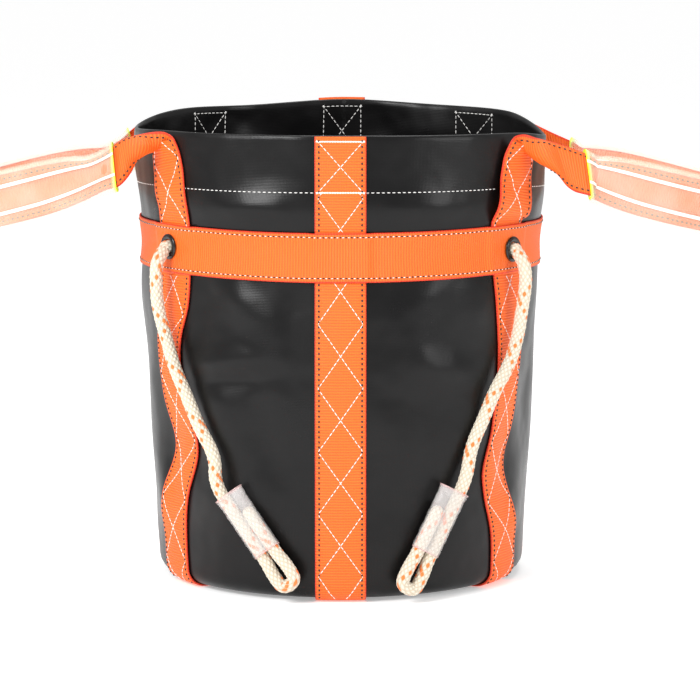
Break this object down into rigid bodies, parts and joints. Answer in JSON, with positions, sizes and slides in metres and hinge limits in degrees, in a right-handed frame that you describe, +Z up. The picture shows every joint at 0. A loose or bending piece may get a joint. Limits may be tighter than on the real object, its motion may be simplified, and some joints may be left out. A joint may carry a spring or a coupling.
{
  "type": "tool lifting bucket bag",
  "caption": "Soft round tool bucket with upright webbing straps, a belt, side carrying loops in sleeves and hanging tether ropes.",
  "frame": {"origin": "middle of the footprint, on the surface the bag stands on", "axes": "+Z up, +X to the right across the two carrying loops, -Y towards the front with the ropes"},
  "size_m": [0.64, 0.3053, 0.355],
  "materials": {
    "coated_sheet": "soft gloss coated fabric",
    "webbing": "woven polyester webbing",
    "eyelet": "gloss black",
    "rope": "braided, with fleck yarns",
    "grip_sleeve": "translucent",
    "clear_sleeve": "clear",
    "board": "matt"
  },
  "bodies": {
    "bag": {"wall_panel": "coated_sheet", "rim_hem": "coated_sheet", "base_panel": "coated_sheet", "base_board": "board", "strap_front_back": "webbing", "strap_diagonal_left": "webbing", "strap_diagonal_right": "webbing", "belt_strap": "webbing", "eyelet_left": "eyelet", "eyelet_washer_left": "eyelet", "rope_stub_left": "rope", "stopper_knot_left": "rope", "eyelet_right": "eyelet", "eyelet_washer_right": "eyelet", "rope_stub_right": "rope", "stopper_knot_right": "rope"},
    "handle_left": {"handle_left": "webbing", "grip_sleeve_left": "grip_sleeve"},
    "rope_left": {"rope_left": "rope", "rope_eye_left": "rope", "clear_sleeve_left": "clear_sleeve"},
    "handle_right": {"handle_right": "webbing", "grip_sleeve_right": "grip_sleeve"},
    "rope_right": {"rope_right": "rope", "rope_eye_right": "rope", "clear_sleeve_right": "clear_sleeve"}
  },
  "joints": [
    {"name": "handle_fold_left", "type": "hinge", "parent": "bag", "child": "handle_left", "pos_m": [-0.136, 0, 0.35], "axis": [0, 1, 0], "range_deg": [-35, 148]},
    {"name": "handle_fold_right", "type": "hinge", "parent": "bag", "child": "handle_right", "pos_m": [0.136, 0, 0.35], "axis": [0, -1, 0], "range_deg": [-35, 148]},
    {"name": "rope_swing_left", "type": "hinge", "parent": "bag", "child": "rope_left", "pos_m": [-0.13244, -0.08333, 0.2625], "axis": [-1, 0, 0], "range_deg": [0, 60]},
    {"name": "rope_swing_right", "type": "hinge", "parent": "bag", "child": "rope_right", "pos_m": [0.13244, -0.08333, 0.2605], "axis": [-1, 0, 0], "range_deg": [0, 60]}
  ]
}
